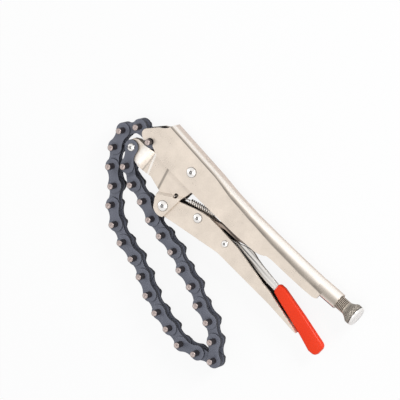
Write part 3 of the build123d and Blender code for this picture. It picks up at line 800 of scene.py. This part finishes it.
def ridged(name, rows, columns, shape_at, start, end, material):
    """A round bar whose radius and groove depth follow a rule of turn and height, closed at both ends."""
    work = bmesh.new()
    groove = work.verts.layers.float.new("groove")
    rings = []
    for row in range(rows + 1):
        height = start + (end - start) * row / rows
        ring = []
        for column in range(columns):
            turn = 2 * math.pi * column / columns
            radius, depth = shape_at(turn, height)
            ring.append(work.verts.new((radius * math.cos(turn), radius * math.sin(turn), height)))
            ring[-1][groove] = depth
        rings.append(ring)
    for lower, upper in zip(rings, rings[1:]):
        for column in range(columns):
            after = (column + 1) % columns
            work.faces.new((lower[column], lower[after], upper[after], upper[column]))
    for ring, height in ((rings[0], start), (rings[-1], end)):
        middle = work.verts.new((0, 0, height))
        for column in range(columns):
            work.faces.new((ring[column], ring[(column + 1) % columns], middle))
    bmesh.ops.recalc_face_normals(work, faces=work.faces)
    mesh = bpy.data.meshes.new(name)
    work.to_mesh(mesh)
    work.free()
    return smoothed(new_piece(name, mesh, material), 50)


def thread_shape(turn, height):
    """The thread's radius and groove depth, a helix of one start."""
    phase = (height / thread_lead - turn / (2 * math.pi)) % 1
    tooth = min(abs(phase - 0.5) * 2, 1)
    crest_share = 0.3
    flank_slope = 2.2
    low = min(max((tooth - crest_share) * flank_slope, 0), 1)
    # The groove depth sets painted shade in the thread's valleys
    return thread_crest - thread_depth * low, low


def make_screw():
    """Plain front rod, threaded rear and a slim neck inside the knob."""
    overlap = 0.2 * MM
    rod_profile = [(0, screw_tip), (1.5 * MM, screw_tip + 0.05 * MM), (2.6 * MM, screw_tip + 0.9 * MM),
                   (tip_radius, screw_tip + 1.5 * MM), (tip_radius, screw_tip + tip_length),
                   (rod_radius, screw_tip + tip_length + 0.3 * MM), (rod_radius, thread_start + overlap),
                   (0, thread_start + overlap)]
    neck_low = neck_start - 0.5 * MM
    neck_profile = [(0, neck_low), (neck_radius, neck_low), (neck_radius, neck_end), (0, neck_end)]
    rod = lathe("plain_rod", rod_profile, thread_metal, 40)
    thread = ridged("thread", thread_rows, thread_columns, thread_shape, thread_start, neck_start,
                    thread_metal)
    neck = lathe("neck", neck_profile, thread_metal, 32)
    screw = joined("adjusting_screw_finished", [thread, rod, neck])
    moved(screw, screw_point, along_screw())
    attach(screw, "adjusting_screw")
    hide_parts("adjusting_screw")


def knob_radius(height):
    """The knob's radius at a height, between its profile's points."""
    for (low, small), (high, large) in zip(knob_body, knob_body[1:]):
        if height <= high:
            return small + (large - small) * (height - low) / (high - low)
    return knob_body[-1][1]


def knurl_shape(turn, height):
    """The knob's radius and groove depth under two crossing sets of grooves."""
    across = (height - knob_foot) / (knob_body[-1][1] * 2 * math.pi) * knurl_teeth
    round_about = turn / (2 * math.pi) * knurl_teeth
    first = abs(((round_about + across) % 1) - 0.5) * 2
    second = abs(((round_about - across) % 1) - 0.5) * 2
    fade = min((height - knob_foot) / knurl_fade, 1)
    low = fade * (1 - max(first, second)) * 2
    # The groove depth sets painted shade in the knurl's valleys
    return knob_radius(height) - knurl_depth * low / 2, min(low * 1.3, 1)


def make_knob():
    """Flared, knurled head with a smooth rounded end."""
    groove_end = knob_band_end + 0.4 * MM
    # Groove depths here set painted shade in the groove under the cap
    cap_profile = [(0, knob_band_end - 0.3 * MM), (7.5 * MM, knob_band_end - 0.3 * MM, 1),
                   (7.5 * MM, groove_end, 1), (8.3 * MM, groove_end + 0.05 * MM, 0.4),
                   (8.5 * MM, groove_end + 0.35 * MM), (8.25 * MM, knob_end - 1.1 * MM),
                   (7.6 * MM, knob_end - 0.3 * MM), (6.6 * MM, knob_end), (0, knob_end)]
    flare = ridged("knurled_flare", knurl_rows, knurl_columns, knurl_shape, knob_foot, knob_band_end,
                   knob_metal)
    cap = lathe("end_cap", cap_profile, rivet_metal, 64)
    knob = joined("adjusting_knob_finished", [flare, cap])
    moved(knob, screw_point, along_screw())
    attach(knob, "adjusting_knob")
    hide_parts("adjusting_knob")


# Spring
def spring_points(hole, way, reach):
    """The wire's middle line: a hook through the jaw, the coil, then a straight tail and its hook."""
    side = Vector((-way.y, way.x, 0))
    up = Vector((0, 0, 1))
    points = [hole + up * 7.9 * MM, hole + up * 2.4 * MM, hole + way * 0.6 * MM + up * 0.7 * MM,
              hole + way * 2.2 * MM, hole + way * (coil_start - coil_lead_length)]
    steps = coil_turns * points_a_turn
    for step in range(steps + 1):
        turn = 2 * math.pi * step / points_a_turn
        grow = min(step / coil_lead_points, (steps - step) / coil_lead_points, 1)
        share = first_coil_share + (1 - first_coil_share) * grow
        middle = hole + way * (coil_start + (coil_end - coil_start) * step / steps)
        points.append(middle + (side * math.cos(turn) + up * math.sin(turn)) * coil_radius * share)
    points += [hole + way * (coil_end + coil_lead_length), hole + way * (reach + 1.8 * MM),
               hole + way * (reach + 2.7 * MM) + up * 0.6 * MM,
               hole + way * (reach + 2.9 * MM) + up * 2.4 * MM]
    return points


def make_spring():
    """Round wire that stretches between the hole in the jaw and the tab inside the handle."""
    hole = from_jaw(2.5, -25.2)
    tab = from_jaw(62.0, -3.0)
    way = (tab - hole).normalized()
    points = spring_points(hole, way, (tab - hole).length)
    curve = bpy.data.curves.new("spring_line", "CURVE")
    curve.dimensions = "3D"
    line = curve.splines.new("POLY")
    line.points.add(len(points) - 1)
    for point, place in zip(line.points, points):
        point.co = (*place, 1)
    curve.bevel_depth = wire_radius
    curve.bevel_resolution = 3
    curve.use_fill_caps = True
    holder = bpy.data.objects.new("spring_line", curve)
    bpy.context.scene.collection.objects.link(holder)
    tools = bpy.context.evaluated_depsgraph_get()
    mesh = bpy.data.meshes.new_from_object(holder.evaluated_get(tools))
    bpy.data.objects.remove(holder)
    spring = smoothed(new_piece("tension_spring_finished", mesh, wire_metal), 50)
    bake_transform(spring)
    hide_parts("tension_spring")


# Grip
def make_grip():
    """Dipped sleeve with full round edges."""
    corners = reversed(grip_top + grip_tail + grip_lower)
    outline = [(jaw_pivot.x + x * MM, jaw_pivot.y + y * MM) for x, y in corners]
    grip = prism("release_grip_finished", outline, -grip_half, grip_half, grip_vinyl, grip_edge, 5)
    smoothed(grip, 60)
    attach(grip, "release_lever")
    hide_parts("release_grip")


# Camera, floor and light
def make_camera():
    """A long lens at the photograph's angle."""
    back = view_right.cross(view_up).normalized()
    middle = jaw_pivot + view_right * (pivot_left_of_middle * pixel_size)
    middle -= view_up * (pivot_above_middle * pixel_size)
    lens = bpy.data.cameras.new("camera")
    lens.sensor_width = sensor_width
    lens.lens = sensor_width * camera_distance / (picture_side * pixel_size)
    lens.clip_start = 0.05
    camera = bpy.data.objects.new("camera", lens)
    bpy.context.scene.collection.objects.link(camera)
    turn = Matrix((view_right, view_up, back)).transposed()
    camera.matrix_world = Matrix.Translation(middle + back * camera_distance) @ turn.to_4x4()
    bpy.context.scene.camera = camera


def pale_surface(name, share):
    """A pale surface that the camera sees nearer to white, with a share of its shadow kept."""
    material = bpy.data.materials.new(name)
    material.use_nodes = True
    nodes, links = material.node_tree.nodes, material.node_tree.links
    shader = nodes["Principled BSDF"]
    shader.inputs["Base Color"].default_value = (floor_grey, floor_grey, floor_grey, 1)
    shader.inputs["Roughness"].default_value = floor_rough
    white = nodes.new("ShaderNodeEmission")
    path = nodes.new("ShaderNodeLightPath")
    part = nodes.new("ShaderNodeMath")
    part.operation = "MULTIPLY"
    part.inputs[1].default_value = share
    mixer = nodes.new("ShaderNodeMixShader")
    links.new(path.outputs["Is Camera Ray"], part.inputs[0])
    links.new(part.outputs[0], mixer.inputs[0])
    links.new(shader.outputs[0], mixer.inputs[1])
    links.new(white.outputs[0], mixer.inputs[2])
    links.new(mixer.outputs[0], nodes["Material Output"].inputs["Surface"])
    return material


def make_floor():
    """Plain pale floor just under the lowest pins."""
    level = cad_bounds[0][2] - floor_gap
    mesh = bpy.data.meshes.new("floor")
    corners = [(-floor_reach, -floor_reach, level), (floor_reach, -floor_reach, level),
               (floor_reach, floor_reach, level), (-floor_reach, floor_reach, level)]
    mesh.from_pydata(corners, [], [(0, 1, 2, 3)])
    floor = new_piece("floor", mesh, pale_surface("pale_floor", floor_white_share))


def make_lamp(name, place, size, power):
    """One soft square lamp, aimed at the tool's middle."""
    lamp = bpy.data.lights.new(name, "AREA")
    lamp.size = size
    lamp.energy = power
    holder = bpy.data.objects.new(name, lamp)
    bpy.context.scene.collection.objects.link(holder)
    holder.location = place
    holder.rotation_euler = (-Vector(place)).to_track_quat("-Z", "Y").to_euler()


def make_world():
    """A soft grey light all round, seen as white by the camera and in reflections."""
    world = bpy.data.worlds.new("studio")
    bpy.context.scene.world = world
    world.use_nodes = True
    nodes, links = world.node_tree.nodes, world.node_tree.links
    ground = nodes["Background"]
    ground.inputs["Color"].default_value = world_tint
    ground.inputs["Strength"].default_value = world_strength
    seen = nodes.new("ShaderNodeBackground")
    seen.inputs["Color"].default_value = (1, 1, 1, 1)
    seen.inputs["Strength"].default_value = 1.0
    path = nodes.new("ShaderNodeLightPath")
    mixer = nodes.new("ShaderNodeMixShader")
    seen_by = path.outputs["Is Camera Ray"]
    for ray in ("Is Glossy Ray", "Is Transmission Ray"):
        either = nodes.new("ShaderNodeMath")
        either.operation = "MAXIMUM"
        links.new(seen_by, either.inputs[0])
        links.new(path.outputs[ray], either.inputs[1])
        seen_by = either.outputs[0]
    links.new(seen_by, mixer.inputs[0])
    links.new(ground.outputs[0], mixer.inputs[1])
    links.new(seen.outputs[0], mixer.inputs[2])
    links.new(mixer.outputs[0], nodes["World Output"].inputs["Surface"])


# Sheet pieces keep the solids' own shapes: node, finish and half width of the inner slot
sheet_rows = (("fixed_handle", handle_plating, handle_slot_half), ("jaw", jaw_plating, 0),
              ("lever", plated, 0), ("toggle_link", link_metal, 0), ("release_lever", bar_metal, 0))
for node, finish, slot_half in sheet_rows:
    sheet = sheet_piece(node, node, edge_soft, finish, slot_half, jaw_pivot.y)
make_chain()
for rivet_row in rivet_rows:
    rivet_piece(*rivet_row)
make_screw()
make_knob()
make_spring()
make_grip()
make_camera()
make_floor()
make_world()
for lamp_row in lamp_rows:
    make_lamp(*lamp_row)
bpy.context.scene.view_settings.view_transform = "Standard"
